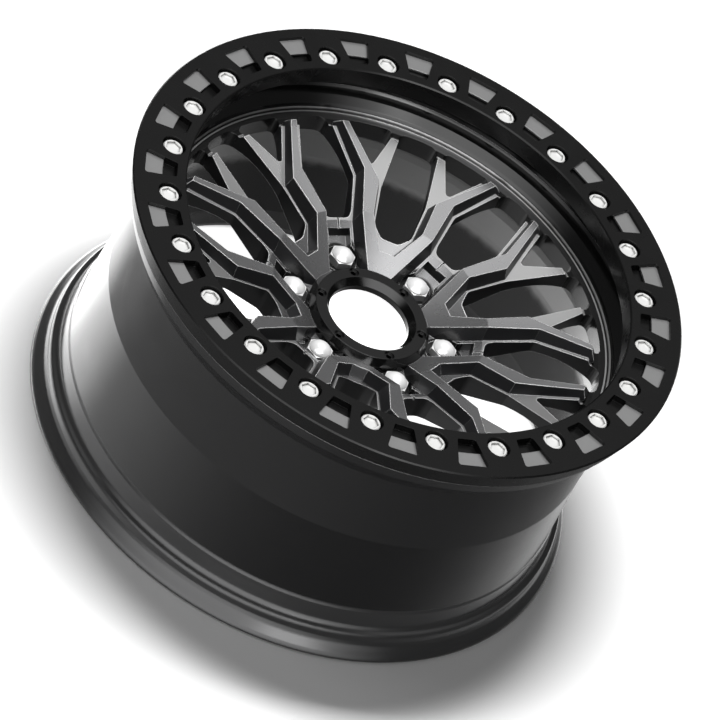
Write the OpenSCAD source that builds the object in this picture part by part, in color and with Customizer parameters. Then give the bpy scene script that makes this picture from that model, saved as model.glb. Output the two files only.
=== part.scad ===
// Beadlock wheel, 18 x 9 inches, six lug holes on a 139.7 mm circle.
// The wheel lies on its rear lip with its outer face up and its axis on Z.
// Depths are measured down from the face of the beadlock ring, heights up from the rear lip.

/* [Overall] */
// Distance from the rear lip to the face of the beadlock ring
wheel_depth = 250; // [240:1:270]
// Smoothness of round surfaces
round_fn = 96; // [48:12:144]

/* [Barrel] */
// Diameter of the rear bead seat at the flange, which sets the size of the whole rim
bead_seat_d = 462; // [430:1:500]
// Height of the rear flange above the bead seat
flange_h = 17.3; // [15:0.1:19]
// Height at which the rear bead seat meets the flange
bead_corner_h = 24.5; // [22:0.1:27]
// Drop from the bead seat to the barrel where it meets the rear hump
barrel_rear_drop = 3; // [2:0.1:5]
// Drop from the bead seat to the barrel behind the front shoulder
barrel_front_drop = 7.5; // [6:0.1:9]
// Wall thickness of the barrel
barrel_wall = 6.4; // [4.5:0.1:8]
// Height of the knee where the barrel begins to widen
barrel_knee_h = 125; // [110:1:140]
// Height of the rear safety hump
hump_h = 42.7; // [38:0.1:48]

/* [Front shoulder] */
// Height of the lip just behind the beadlock ring above the bead seat
lip_h = 12.4; // [11:0.1:14]
// Depth of the bend half way down the lip
lip_bend_depth = 31.3; // [29:0.1:34]
// Height of that bend above the bead seat
lip_bend_h = 7.4; // [5:0.1:9]
// Depth of the rear edge of the lip
lip_end_depth = 46.7; // [44:0.1:49]
// Drop from the bead seat to the rear edge of the lip
lip_end_drop = 2.1; // [1:0.1:3.5]
// Drop from the bead seat to the inner wall of the dish
dish_drop = 8.2; // [7.6:0.1:9]
// Depth at which the dish wall turns into the shoulder
dish_depth = 41.2; // [40:0.1:43]
// Depth of the inner end of the shoulder
shoulder_depth = 52; // [50:0.1:54]
// Distance from the dish wall in to the outer of the two beads round the spokes
outer_bead_in = 16.6; // [16:0.1:17.4]
// Distance from the dish wall in to the inner of the two beads round the spokes
inner_bead_in = 19.4; // [18.6:0.1:20.2]
// Height of each bead above the groove between them
bead_rise = 1.5; // [0.8:0.1:2]
// Diameter of the valve hole
valve_hole_d = 11.5; // [10:0.1:12.5]
// Length of the drill path of the valve hole
valve_hole_l = 36; // [30:1:38]

/* [Beadlock ring] */
// Height of the outer edge of the ring above the bead seat
ring_edge_h = 17.9; // [16:0.1:20]
// Width of the inner part that takes the bolts
ring_block_w = 20.4; // [19:0.1:22]
// Thickness of the inner part that takes the bolts
ring_block_t = 17; // [16:0.1:18]
// Thickness of the plate over the rim of the wheel
ring_plate_t = 3; // [2.6:0.1:3.6]
// Depth of the outer skirt
ring_skirt_t = 18; // [17:0.1:19.5]
// Distance from the dish wall in to the step that centres the ring on the wheel
register_in = 1.2; // [0.6:0.1:2]
// Distance from the lip in to the inner wall of the skirt
skirt_in = 3.4; // [2.4:0.1:4.4]
// Distance that the rear edge of the skirt stands out over the lip
skirt_end_out = 0.2; // [0.1:0.1:1]
// Clearance between the ring and the rim of the wheel
ring_gap = 0.3; // [0.2:0.05:0.5]
// Number of windows, and of bolts, round the ring
ring_count = 24; // [20:1:24]
// Distance from the centring step in to the inner edge of a window
window_in = 11.6; // [10.6:0.1:12.6]
// Distance from the inner wall of the skirt in to the outer edge of a window
window_out_in = 2; // [1:0.1:4]
// Width of the land between two windows at their inner edges
window_land_in = 38.7; // [36:0.1:42]
// Width of the land between two windows at their outer edges
window_land_out = 34.6; // [32:0.1:38]
// Depth of the pocket at the inner end of a window
window_depth = 6.5; // [5:0.1:8]
// Corner radius of a window
window_corner = 2.2; // [1:0.1:3]

/* [Ring bolts] */
// Distance from the centring step in to the circle through the ring bolts
ring_bolt_in = 5.2; // [4.6:0.1:6]
// Thread diameter of a ring bolt
ring_bolt_d = 8; // [6:0.5:8]
// Diameter of a bolt head
bolt_head_d = 17; // [15:0.1:18]
// Height of a bolt head
bolt_head_h = 4.9; // [4.4:0.1:5.4]
// Depth of the top of a bolt head below the face of the ring
bolt_sink = 2.3; // [1.8:0.1:2.6]
// Distance across the flats of the hexagon in a bolt head
bolt_hex_af = 12.2; // [10:0.1:12.5]
// Depth of the hexagon in a bolt head
bolt_hex_depth = 2; // [1:0.1:2.4]
// Diameter of the seat that a bolt head lies in
bolt_seat_d = 20.6; // [19:0.1:21]
// Diameter of the hole for a bolt through the ring
ring_hole_d = 9; // [8.8:0.1:9.5]
// Length of a bolt below its head
bolt_length = 17.5; // [15:0.5:18]
// Wall of the ring's boss round a bolt seat
boss_wall = 1.7; // [1:0.1:2]

/* [Hub] */
// Diameter of the circle through the lug holes
lug_pcd = 139.7; // [135:0.1:141]
// Number of lug holes and of forked spokes
spoke_count = 6; // [5:1:6]
// Diameter of a lug hole
lug_hole_d = 15.2; // [14.8:0.1:16]
// Depth of the pad that a lug nut sits on
pad_depth = 99.5; // [98:0.2:101]
// Diameter of the pocket round a lug nut
pocket_d = 29; // [28:0.2:30]
// Depth of the face that bolts to the vehicle
mount_depth = 112; // [111:0.2:116]
// Diameter of the face that bolts to the vehicle
mount_d = 172; // [168:1:176]
// Diameter of the bore that fits the hub of the vehicle
centre_bore_d = 106.2; // [105:0.1:108]
// Diameter of the opening for the centre cap
cap_bore_d = 73; // [71:0.1:76]
// Thickness of the land in the cap opening
cap_land = 5; // [4:0.1:6]
// Outer diameter of the raised hub ring
hub_d = 110.6; // [109:0.2:112]
// Depth of the face of the hub ring
hub_depth = 87; // [86:0.1:88]
// Depth of the outer edge of the hub ring
hub_edge_depth = 93.5; // [93:0.1:95]
// Diameter of the flat face of the hub ring
hub_flat_d = 101.6; // [101:0.2:104]
// Diameter at the top of the cone that leads into the cap opening
hub_cone_d = 81.8; // [78:0.2:83]
// Diameter of the circle through the cap screw holes
cap_screw_pcd = 92.6; // [92:0.1:93]
// Diameter of a cap screw hole
cap_screw_d = 4.6; // [4:0.1:5]
// Diameter of the recess for a cap screw head
cap_head_d = 8.6; // [8:0.1:9]
// Depth of the recess for a cap screw head
cap_head_depth = 2; // [1.5:0.1:2.5]

/* [Spokes] */
// Distance from the axis to the crease across a spoke
crease_r = 98.4; // [96:0.2:101]
// Depth of the spoke face at the crease
crease_depth = 66; // [65:0.1:67]
// Distance from the dish wall in to the outer end of a spoke face
tip_in = 35.8; // [34:0.1:39]
// Depth of the spoke face at its outer end
tip_depth = 47.8; // [46.8:0.1:49]
// Height of the raised face above the lower level at the crease
crease_step = 13; // [11:0.1:14]
// Height of the raised face above the lower level at the outer end
tip_step = 7.9; // [6.5:0.1:9]
// Slope of the side walls of the raised face, as run over fall
wall_draft = 0.36; // [0.2:0.02:0.38]
// Slope of the wall at the bottom of the fork
notch_draft = 0.7; // [0.4:0.05:0.75]
// Half width of a spoke at the hub
root_half_w = 10; // [9:0.2:11]
// Distance from the axis to the bottom of the fork
notch_x = 72.8; // [71:0.2:74]
// Half width of the bottom of the fork
notch_half_w = 7; // [6:0.2:8]
// Angle from the spoke's axis to the outer edge at the crease
crease_out_a = 19.4; // [19:0.1:19.8]
// Angle from the spoke's axis to the inner edge at the crease
crease_in_a = 13.6; // [13:0.1:14]
// Place of the bend of the outer edge, as a share of the way from the crease to the tip
kink_out_share = 0.501; // [0.47:0.001:0.53]
// Angle of the bend of the outer edge
kink_out_a = 17.3; // [17:0.1:17.7]
// Place of the bend of the inner edge, as a share of the way from the crease to the tip
kink_in_share = 0.406; // [0.38:0.001:0.43]
// Angle of the bend of the inner edge
kink_in_a = 11.7; // [11.3:0.1:12]
// Angle of the outer edge at the outer end
tip_out_a = 22.95; // [22.6:0.05:23.2]
// Angle of the inner edge at the outer end
tip_in_a = 21.2; // [20.9:0.05:21.5]

/* [Spoke windows] */
// Distance from the dish wall in to the outer ends of the windows
rim_window_in = 23.3; // [22.3:0.1:24.3]
// Distance from a spoke face to the edge of the window beside it
ledge_w = 6; // [5.6:0.1:6.5]
// Distance from the axis to the inner end of the fork window
fork_window_x = 90.4; // [89:0.2:92]
// Half width of the inner end of the fork window
fork_window_half_w = 8; // [7:0.2:9]
// Place of the root of a branch, as a share of the way from the crease to the tip
branch_root_share = 0.4165; // [0.39:0.0005:0.44]
// Angle from the spoke's axis to the root of a branch
branch_root_a = 9.1; // [8.8:0.1:9.4]
// Angle from the spoke's axis to the inner edge of a branch at its end
branch_in_a = 5.8; // [5.5:0.1:6]
// Angle from the spoke's axis to the outer edge of a branch at its end
branch_out_a = 7.9; // [7.7:0.1:8.2]
// Place of the inner corner of the small window, as a share of the way from the crease to the tip
small_window_share = 0.622; // [0.59:0.001:0.65]
// Angle from the spoke's axis to the inner corner of the small window
small_window_a = 13.4; // [13:0.1:13.8]
// Distance from the axis to the inner end of the window between spokes
web_r = 100.3; // [99:0.2:102]
// Half width of that inner end
web_half_w = 11; // [10:0.2:12]
// Corner radius of the large windows
large_corner = 7; // [5:0.2:8]
// Corner radius of the small windows
small_corner = 3.2; // [2:0.1:4]
// Width of the pocket behind a lug nut
slot_w = 21.6; // [20:0.2:23]
// Distance from the axis to the outer wall of that pocket
slot_r = 92.3; // [91:0.1:93.5]
// Depth of that pocket at its outer wall
slot_depth = 92.6; // [91:0.2:94]
// Width of the groove across the web
groove_w = 1.4; // [1:0.1:2]

/* [Spoke backs] */
// Depth of the back of a spoke near the hub
back_root_depth = 99.5; // [98:0.5:103]
// Place where the back begins to arch, as a share of the way from the crease to the tip
back_bend_share = 0.357; // [0.3:0.001:0.42]
// Depth of the back of a spoke where it begins to arch
back_bend_depth = 85.4; // [83:0.1:88]
// Place of the crown of the arch, as a share of the way from the crease to the tip
back_crown_share = 0.876; // [0.82:0.001:0.92]
// Depth of the back of a spoke at the crown of the arch
back_crown_depth = 71.6; // [69:0.1:74]
// Number of facets along the arch
back_steps = 8; // [4:1:12]
// Depth of the curve from the spokes' back down to the inside of the barrel
back_fillet_depth = 24; // [18:0.5:30]

/* [Lug nuts] */
// Distance across the flats of a lug nut
nut_af = 20.6; // [19:0.1:21]
// Diameter of the domed top of a lug nut
nut_dome_d = 19.6; // [18:0.1:20]
// Rise of the dome
nut_dome_h = 5.6; // [4:0.1:7]
// Depth of the plane where the dome meets the hexagon
nut_top_depth = 92.3; // [91:0.1:93.5]
// Diameter of the hole inside a lug nut
nut_bore_d = 14.4; // [14.2:0.1:14.6]
// Width of the cone seat at its top
seat_d = 20.4; // [19:0.1:20.6]
// Half angle of the cone seat
seat_angle = 30; // [28:1:32]
// Clearance between the nut and its seat
seat_gap = 0.2; // [0.15:0.05:0.4]

/* [Hidden] */
overlap = 2;
front = wheel_depth + 5;
spoke_step = 360 / spoke_count;
first_spoke = 15;
first_lug = first_spoke + spoke_step / 2;
bolt_step = 360 / ring_count;
bead_seat_r = bead_seat_d / 2;
flange_r = bead_seat_r + flange_h;
barrel_r = bead_seat_r - barrel_front_drop;
hump_r = bead_seat_r - barrel_rear_drop;
lip_r = bead_seat_r + lip_h;
dish_r = bead_seat_r - dish_drop;
outer_bead_r = dish_r - outer_bead_in;
inner_bead_r = dish_r - inner_bead_in;
rim_window_r = dish_r - rim_window_in;
tip_r = dish_r - tip_in;
register_r = dish_r - register_in;
rim_in_r = register_r + ring_gap;
ring_r = bead_seat_r + ring_edge_h;
ring_in_r = register_r - ring_block_w;
ring_bolt_r = register_r - ring_bolt_in;
skirt_in_r = lip_r - skirt_in;
skirt_end_r = lip_r + skirt_end_out;
rim_out_r = skirt_in_r - ring_gap;
window_r1 = register_r - window_in;
window_r2 = skirt_in_r - window_out_in;
window_w1 = 2 * PI * window_r1 / ring_count - window_land_in;
window_w2 = 2 * PI * window_r2 / ring_count - window_land_out;
rim_top_depth = ring_plate_t + ring_gap;
boss_r = bolt_seat_d / 2 + boss_wall;
thread_r = ring_bolt_d / 2;
thread_gap = 0.1;
flange_in_r = window_r1 - 0.5;
hub_r = hub_d / 2;
face_in_r = centre_bore_d / 2 + 1;
face_length = tip_r - crease_r;
kink_out_r = crease_r + face_length * kink_out_share;
kink_in_r = crease_r + face_length * kink_in_share;
branch_root_r = crease_r + face_length * branch_root_share;
small_window_r = crease_r + face_length * small_window_share;
back_bend_r = crease_r + face_length * back_bend_share;
back_crown_r = crease_r + face_length * back_crown_share;
tip_end_r = tip_r + 6.5;
root_r = hub_r - 6;
floor_depth = pad_depth - 0.5;
face_slope = (hub_edge_depth - crease_depth) / (crease_r - hub_r);
outer_slope = (crease_depth - tip_depth) / face_length;
relief_depth = tip_depth + tip_step + 3.6;
seat_r = seat_d / 2;
lug_hole_r = lug_hole_d / 2;
seat_fall = (seat_r - lug_hole_r) / tan(seat_angle);

// Height above the rear lip of a point at a given depth below the ring's face
function up(depth) = wheel_depth - depth;

// Point at a distance and an angle from the axis
function polar(r, a) = [r * cos(a), r * sin(a)];

// Depth of the raised spoke face at a distance from the axis
function face_depth(r) =
    r < crease_r
        ? crease_depth + (crease_r - r) * face_slope
        : crease_depth - (r - crease_r) * outer_slope;

// Depth of the lower level at a distance from the axis
function step_at(r) =
    crease_step + (tip_step - crease_step) * max(0, r - crease_r) / face_length;
function lower_depth(r) = min(floor_depth, face_depth(r) + step_at(r));

// Depth of the arched back of the spokes beyond the place where the arch begins
function back_depth(r) =
    let (share = (r - back_crown_r) / (back_crown_r - back_bend_r))
    back_crown_depth + (back_bend_depth - back_crown_depth) * share * share;

function unit(v) = v / norm(v);
function side(v) = [v[1], -v[0]];

// Point where the line through a and b meets the line through c and d
function meet(a, b, c, d) =
    let (
        u = b - a,
        v = d - c,
        w = c - a,
        t = (w[0] * v[1] - w[1] * v[0]) / (u[0] * v[1] - u[1] * v[0])
    )
    a + u * t;

// Arc that rounds the corner p between its neighbours, with radius p[2]
function corner(before, p, after) =
    let (
        c = [p[0], p[1]],
        u = unit([before[0], before[1]] - c),
        v = unit([after[0], after[1]] - c),
        half = acos(max(-1, min(1, u * v))) / 2,
        start = c + u * p[2] / tan(half),
        end = c + v * p[2] / tan(half),
        centre = c + unit(u + v) * p[2] / sin(half),
        a0 = atan2(start[1] - centre[1], start[0] - centre[0]),
        a1 = atan2(end[1] - centre[1], end[0] - centre[0]),
        turn = a1 - a0 > 180 ? a1 - a0 - 360 : a1 - a0 < -180 ? a1 - a0 + 360 : a1 - a0,
        steps = 4
    )
    p[2] == 0
        ? [c]
        : [for (i = [0 : steps]) centre + p[2] * [cos(a0 + turn * i / steps), sin(a0 + turn * i / steps)]];

// Outline with every corner rounded by its own radius
function rounded(points) =
    let (n = len(points))
    [for (i = [0 : n - 1]) each corner(points[(i + n - 1) % n], points[i], points[(i + 1) % n])];

// Points mirrored across the spoke's axis, in reverse order
function mirrored(points) =
    [for (i = [len(points) - 1 : -1 : 0]) [points[i][0], -points[i][1], points[i][2]]];

// Section through the casting, from the bore outwards and back
module wheel_section() {
    slope_start_r = crease_r - (floor_depth - crease_depth - crease_step) / face_slope;
    groove_r = (outer_bead_r + inner_bead_r) / 2;
    outer_bead_depth = shoulder_depth + bead_rise * 0.73;
    inner_bead_depth = shoulder_depth + bead_rise * 2.13;
    inside_r = barrel_r - barrel_wall;
    back_rim_depth = back_depth(rim_window_r);
    polygon(concat(
        [
            [cap_bore_d / 2, up(hub_edge_depth)],
            [hub_cone_d / 2, up(hub_depth)],
            [hub_flat_d / 2, up(hub_depth)],
            [hub_r, up(hub_edge_depth)],
            [hub_r, up(floor_depth)],
            [slope_start_r, up(floor_depth)],
            [crease_r, up(lower_depth(crease_r))],
            [tip_r, up(lower_depth(tip_r))],
            [tip_r + 3, up(relief_depth)],
            [rim_window_r - 1.5, up(relief_depth)],
            [inner_bead_r - 1.6, up(inner_bead_depth + bead_rise)],
            [inner_bead_r, up(inner_bead_depth)],
            [groove_r, up(inner_bead_depth + bead_rise * 0.6)],
            [outer_bead_r, up(outer_bead_depth)],
            [outer_bead_r + 1.3, up(outer_bead_depth + bead_rise * 0.73)],
            [outer_bead_r + 2.8, up(shoulder_depth - 0.6)],
            [(dish_r + outer_bead_r) / 2 + 1, up(dish_depth + 4.5)],
            [dish_r - 2, up(dish_depth + 0.6)],
            [dish_r, up(dish_depth - 1.5)],
            [dish_r, up(dish_depth - 5)],
            [rim_in_r, up(ring_block_t * 1.976)],
            [flange_in_r + 5.7, up(ring_block_t * 1.676)],
            [flange_in_r, up(ring_block_t * 1.294)],
            [flange_in_r, up(ring_block_t)],
            [rim_in_r, up(ring_block_t)],
            [rim_out_r, up(ring_block_t)],
            [rim_out_r, up(ring_skirt_t + ring_gap)],
            [lip_r, up(ring_skirt_t + ring_gap)],
            [bead_seat_r + lip_bend_h, up(lip_bend_depth)],
            [bead_seat_r - lip_end_drop, up(lip_end_depth)],
            [barrel_r + 0.6, up(lip_end_depth + 3.4)],
            [barrel_r, barrel_knee_h],
            [hump_r, hump_h + 2.6],
            [hump_r + 1, hump_h],
            [hump_r + 1.4, hump_h - 3.5],
            [bead_seat_r, bead_corner_h * 1.12],
            [bead_seat_r + flange_h * 0.12, bead_corner_h * 1.016],
            [bead_seat_r + flange_h * 0.35, bead_corner_h * 0.96],
            [bead_seat_r + flange_h * 0.405, bead_corner_h * 0.878],
            [bead_seat_r + flange_h * 0.428, bead_corner_h * 0.653],
            [bead_seat_r + flange_h * 0.509, bead_corner_h * 0.498],
            [bead_seat_r + flange_h * 0.694, bead_corner_h * 0.367],
            [bead_seat_r + flange_h * 0.884, bead_corner_h * 0.245],
            [flange_r, bead_corner_h * 0.127],
            [flange_r - 0.5, 1.2],
            [flange_r - 2, 0],
            [flange_r - 5, 0],
            [flange_r - 7, 2],
            [bead_seat_r + flange_h * 0.462, bead_corner_h * 0.286],
            [bead_seat_r + flange_h * 0.202, bead_corner_h * 0.449],
            [bead_seat_r + flange_h * 0.231 - barrel_wall, bead_corner_h * 0.633],
            [bead_seat_r - barrel_wall, bead_corner_h * 0.939],
            [hump_r - barrel_wall, hump_h],
            [inside_r, barrel_knee_h],
            [inside_r, up(back_rim_depth + back_fillet_depth)],
            [inside_r - 2.4, up(back_rim_depth + back_fillet_depth * 0.62)],
            [inside_r - 6, up(back_rim_depth + back_fillet_depth * 0.36)],
            [rim_window_r + 6, up(back_rim_depth + back_fillet_depth * 0.17)]
        ],
        [for (i = [0 : back_steps])
            let (r = rim_window_r + (back_bend_r - rim_window_r) * i / back_steps)
            [r, up(back_depth(r))]],
        [
            [crease_r + 6, up(back_root_depth)],
            [mount_d / 2 + 3, up(mount_depth - 4)],
            [mount_d / 2, up(mount_depth)],
            [centre_bore_d / 2, up(mount_depth)],
            [centre_bore_d / 2, up(hub_edge_depth + cap_land)],
            [cap_bore_d / 2, up(hub_edge_depth + cap_land)]
        ]
    ));
}

// Raised rim that carries the ring's plate, notched for the ring's bosses
module raised_rim() {
    difference() {
        rotate_extrude($fn = round_fn)
            polygon([
                [rim_in_r, up(ring_block_t + 1)],
                [rim_in_r, up(rim_top_depth)],
                [rim_out_r, up(rim_top_depth)],
                [rim_out_r, up(ring_block_t + 1)]
            ]);
        at_ring_bolts()
            translate([0, 0, up(ring_block_t)])
                cylinder(r = boss_r + ring_gap, h = ring_block_t);
    }
}

// Window between the two arms of one fork
function fork_window() =
    let (
        crease = polar(crease_r, crease_in_a),
        kink = polar(kink_in_r, kink_in_a),
        inward = side(unit(kink - crease)),
        bend = meet(
            crease + inward * ledge_w,
            kink + inward * ledge_w,
            [fork_window_x, fork_window_half_w],
            [fork_window_x + 1, fork_window_half_w + 1.3]
        ),
        root = polar(branch_root_r, branch_root_a),
        end = polar(tip_r, branch_in_a),
        rim = meet(root, end, [rim_window_r - 0.4, 0], [rim_window_r - 0.4, 1]),
        half = [
            [fork_window_x, fork_window_half_w, large_corner],
            [bend[0], bend[1], large_corner],
            [root[0], root[1], 0],
            [rim[0] - 0.6, rim[1], large_corner],
            [rim_window_r, 5, 0]
        ]
    )
    concat(mirrored(half), half);

// Window between one arm and its branch
function small_window() =
    let (
        crease_side = polar(kink_in_r, kink_in_a),
        tip = polar(tip_r, tip_in_a),
        inward = side(unit(tip - crease_side)),
        near = polar(small_window_r, small_window_a),
        branch_end = polar(tip_r, branch_out_a),
        arm_a = crease_side + inward * ledge_w,
        arm_b = tip + inward * ledge_w,
        foot = meet(arm_a, arm_b, near, branch_end),
        reach = (rim_window_r - small_window_r) / (tip_r - small_window_r),
        branch_rim = near + (branch_end - near) * reach,
        arm_rim = unit(arm_b + unit(arm_b - arm_a) * 11) * rim_window_r
    )
    [
        [foot[0], foot[1], small_corner],
        [branch_rim[0], branch_rim[1], small_corner * 1.6],
        each [for (i = [1 : 2])
            let (
                a0 = atan2(branch_rim[1], branch_rim[0]),
                a1 = atan2(arm_rim[1], arm_rim[0]),
                p = polar(rim_window_r, a0 + (a1 - a0) * (i + 0.2) / 3.4)
            )
            [p[0], p[1], 0]],
        [arm_rim[0], arm_rim[1], small_corner * 1.2]
    ];

// Window between two spokes, drawn about the line half way between them
function between_window() =
    let (
        half_step = spoke_step / 2,
        crease = polar(crease_r, half_step - crease_out_a),
        kink = polar(kink_out_r, half_step - kink_out_a),
        tip = polar(tip_r, half_step - tip_out_a),
        low = side(unit(kink - crease)),
        high = side(unit(tip - kink)),
        bend = meet(
            crease + low * ledge_w,
            kink + low * ledge_w,
            kink + high * ledge_w,
            tip + high * ledge_w
        ),
        rim = meet(
            kink + high * ledge_w,
            tip + high * ledge_w,
            [rim_window_r - 0.4, 0],
            [rim_window_r - 0.4, 1]
        ),
        shoulder = crease + low * ledge_w,
        half = [
            [web_r, web_half_w, large_corner],
            [shoulder[0] + 9, shoulder[1] + 2.6, 0],
            [bend[0], bend[1], large_corner],
            [rim[0] - 0.4, rim[1], large_corner],
            [rim_window_r, 4, 0]
        ]
    )
    concat(mirrored(half), half);

module window_cut(points) {
    translate([0, 0, up(back_root_depth + 20)])
        linear_extrude(height = back_root_depth + 20 - shoulder_depth + 4)
            polygon(points);
}

module spoke_windows() {
    for (i = [0 : spoke_count - 1])
        rotate([0, 0, first_spoke + i * spoke_step]) {
            window_cut(rounded(fork_window()));
            window_cut(rounded(small_window()));
            mirror([0, 1, 0])
                window_cut(rounded(small_window()));
            rotate([0, 0, spoke_step / 2])
                window_cut(rounded(between_window()));
        }
}

// Outline of the raised face of one forked spoke, as half of a symmetric shape
function face_half() =
    let (
        tip_out = polar(tip_r, tip_out_a),
        kink_out = polar(kink_out_r, kink_out_a),
        tip_in = polar(tip_r, tip_in_a),
        kink_in = polar(kink_in_r, kink_in_a),
        past = tip_end_r - tip_r + 1
    )
    [
        [root_r, root_half_w - (hub_r - root_r) * 0.6],
        polar(crease_r, crease_out_a),
        kink_out,
        tip_out + unit(tip_out - kink_out) * past,
        tip_in + unit(tip_in - kink_in) * past,
        kink_in,
        polar(crease_r, crease_in_a),
        [notch_x, notch_half_w]
    ];

// Raised face of one spoke as a solid with sloping side walls
module drafted_spoke() {
    half = face_half();
    outline = concat(
        [for (p = half) [p[0], -p[1]]],
        [for (i = [7 : -1 : 0]) half[i]]
    );
    n = len(outline);
    level = [for (p = outline) up(face_depth(norm(p)))];
    slope = [for (i = [0 : n - 1]) i == 7 ? notch_draft : wall_draft];
    function wall(i, h) =
        let (
            a = outline[i],
            b = outline[(i + 1) % n],
            out = side(unit(b - a)) * slope[i]
        )
        [a + out * (level[i] - h), b + out * (level[(i + 1) % n] - h)];
    function vertex(i, h) =
        let (
            w0 = wall((i + n - 1) % n, h),
            w1 = wall(i, h),
            p = meet(w0[0], w0[1], w1[0], w1[1])
        )
        [p[0], p[1], h];
    top = [for (i = [0 : n - 1]) vertex(i, level[i] + 1)];
    bottom = [for (i = [0 : n - 1])
        vertex(i, up(face_depth(norm(outline[i])) + step_at(norm(outline[i])) + overlap))];
    quads = [[0, 1, 6, 7], [1, 2, 5, 6], [2, 3, 4, 5], [15, 8, 9, 14], [14, 9, 10, 13], [13, 10, 11, 12]];
    cap = concat(
        [for (q = quads) each [[q[0], q[1], q[2]], [q[0], q[2], q[3]]]],
        [[0, 7, 8], [0, 8, 15]]
    );
    sides = [for (i = [0 : n - 1])
        let (j = (i + 1) % n)
        each [[i, j, n + j], [i, n + j, n + i]]];
    polyhedron(
        points = concat(top, bottom),
        faces = concat(
            [for (t = cap) [t[2], t[1], t[0]]],
            [for (t = cap) [n + t[0], n + t[1], n + t[2]]],
            sides
        )
    );
}

// The raised faces of all the spokes, topped by the dished surface that they share
module raised_faces() {
    intersection() {
        rotate_extrude($fn = round_fn)
            polygon([
                [face_in_r, up(mount_depth - 1)],
                [face_in_r, up(face_depth(face_in_r))],
                [crease_r, up(crease_depth)],
                [tip_r, up(tip_depth)],
                [tip_end_r, up(lower_depth(tip_r) + overlap)],
                [tip_end_r, up(mount_depth - 1)]
            ]);
        for (i = [0 : spoke_count - 1])
            rotate([0, 0, first_spoke + i * spoke_step])
                drafted_spoke();
    }
}

module at_ring_bolts() {
    for (i = [0 : ring_count - 1])
        rotate([0, 0, i * bolt_step])
            translate([ring_bolt_r, 0, 0])
                children();
}

module at_lugs() {
    for (i = [0 : spoke_count - 1])
        rotate([0, 0, first_lug + i * spoke_step])
            children();
}

// Everything that is cut round one lug hole: pocket, seat and hole, sloping slot and groove
module lug_cuts() {
    lug_r = lug_pcd / 2;
    slot_floor = pad_depth - 0.2;
    slot_start = slot_r - (slot_floor - slot_depth) / 0.6;
    translate([lug_r, 0, 0])
        rotate_extrude($fn = round_fn / 2)
            polygon([
                [0, up(mount_depth + 1)],
                [lug_hole_r, up(mount_depth + 1)],
                [lug_hole_r, up(pad_depth + seat_fall)],
                [seat_r, up(pad_depth)],
                [pocket_d / 2, up(pad_depth)],
                [pocket_d / 2, front],
                [0, front]
            ]);
    rotate([90, 0, 0])
        translate([0, 0, -slot_w / 2])
            linear_extrude(height = slot_w)
                polygon([
                    [lug_r, up(slot_floor)],
                    [slot_start, up(slot_floor)],
                    [slot_r, up(slot_depth)],
                    [slot_r, front],
                    [lug_r, front]
                ]);
    rotate([90, 0, 0])
        translate([0, 0, -groove_w / 2])
            linear_extrude(height = groove_w)
                polygon([
                    [slot_r - 1, up(lower_depth(slot_r) + 1.6)],
                    [web_r + 1, up(lower_depth(web_r) + 1.6)],
                    [web_r + 1, front],
                    [slot_r - 1, front]
                ]);
    translate([cap_screw_pcd / 2, 0, 0])
        rotate_extrude($fn = round_fn / 4)
            polygon([
                [0, up(hub_depth + cap_head_depth + 9)],
                [cap_screw_d / 2, up(hub_depth + cap_head_depth + 9)],
                [cap_screw_d / 2, up(hub_depth + cap_head_depth)],
                [cap_head_d / 2, up(hub_depth + cap_head_depth)],
                [cap_head_d / 2, up(hub_depth - 1)],
                [0, up(hub_depth - 1)]
            ]);
}

// Hole for the tyre valve, drilled square to the shoulder of the dish
module valve_hole() {
    rotate([0, 0, first_lug + 5 * spoke_step])
        translate([(dish_r + outer_bead_r) / 2, 0, up(dish_depth + 5)])
            rotate([0, 145, 0])
                translate([0, 0, -8])
                    cylinder(d = valve_hole_d, h = valve_hole_l, $fn = round_fn / 2);
}

module wheel() {
    color([0.30, 0.30, 0.31])
        difference() {
            union() {
                difference() {
                    rotate_extrude($fn = round_fn)
                        wheel_section();
                    spoke_windows();
                }
                raised_rim();
                raised_faces();
            }
            at_lugs()
                lug_cuts();
            at_ring_bolts()
                translate([0, 0, up(ring_block_t + 20)])
                    cylinder(r = thread_r + thread_gap, h = 21, $fn = round_fn / 4);
            valve_hole();
        }
}

// Trapezoid window of the ring, wider towards the outside
function ring_window() =
    let (w1 = window_w1 / 2, w2 = window_w2 / 2, c = window_corner)
    [
        [window_r1, -w1, c],
        [window_r2, -w2, c],
        [window_r2, w2, c],
        [window_r1, w1, c]
    ];

module beadlock_ring() {
    edge = 1.2;
    color([0.07, 0.07, 0.08])
        difference() {
            union() {
                rotate_extrude($fn = round_fn)
                    polygon([
                        [ring_in_r, up(edge)],
                        [ring_in_r + edge, up(0)],
                        [ring_r - edge, up(0)],
                        [ring_r, up(edge)],
                        [skirt_end_r, up(ring_skirt_t)],
                        [skirt_in_r, up(ring_skirt_t)],
                        [skirt_in_r, up(ring_plate_t)],
                        [register_r, up(ring_plate_t)],
                        [register_r, up(ring_block_t)],
                        [ring_in_r, up(ring_block_t)]
                    ]);
                at_ring_bolts()
                    translate([0, 0, up(ring_block_t)])
                        cylinder(r = boss_r, h = ring_block_t - edge, $fn = round_fn / 2);
            }
            for (i = [0 : ring_count - 1])
                rotate([0, 0, (i + 0.5) * bolt_step])
                    translate([0, 0, up(window_depth)])
                        linear_extrude(height = window_depth + 1)
                            polygon(rounded(ring_window()));
            at_ring_bolts() {
                translate([0, 0, up(bolt_sink + bolt_head_h)])
                    cylinder(d = bolt_seat_d, h = bolt_sink + bolt_head_h + 1, $fn = round_fn / 2);
                translate([0, 0, up(ring_block_t + 1)])
                    cylinder(d = ring_hole_d, h = ring_block_t, $fn = round_fn / 4);
            }
        }
}

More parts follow.
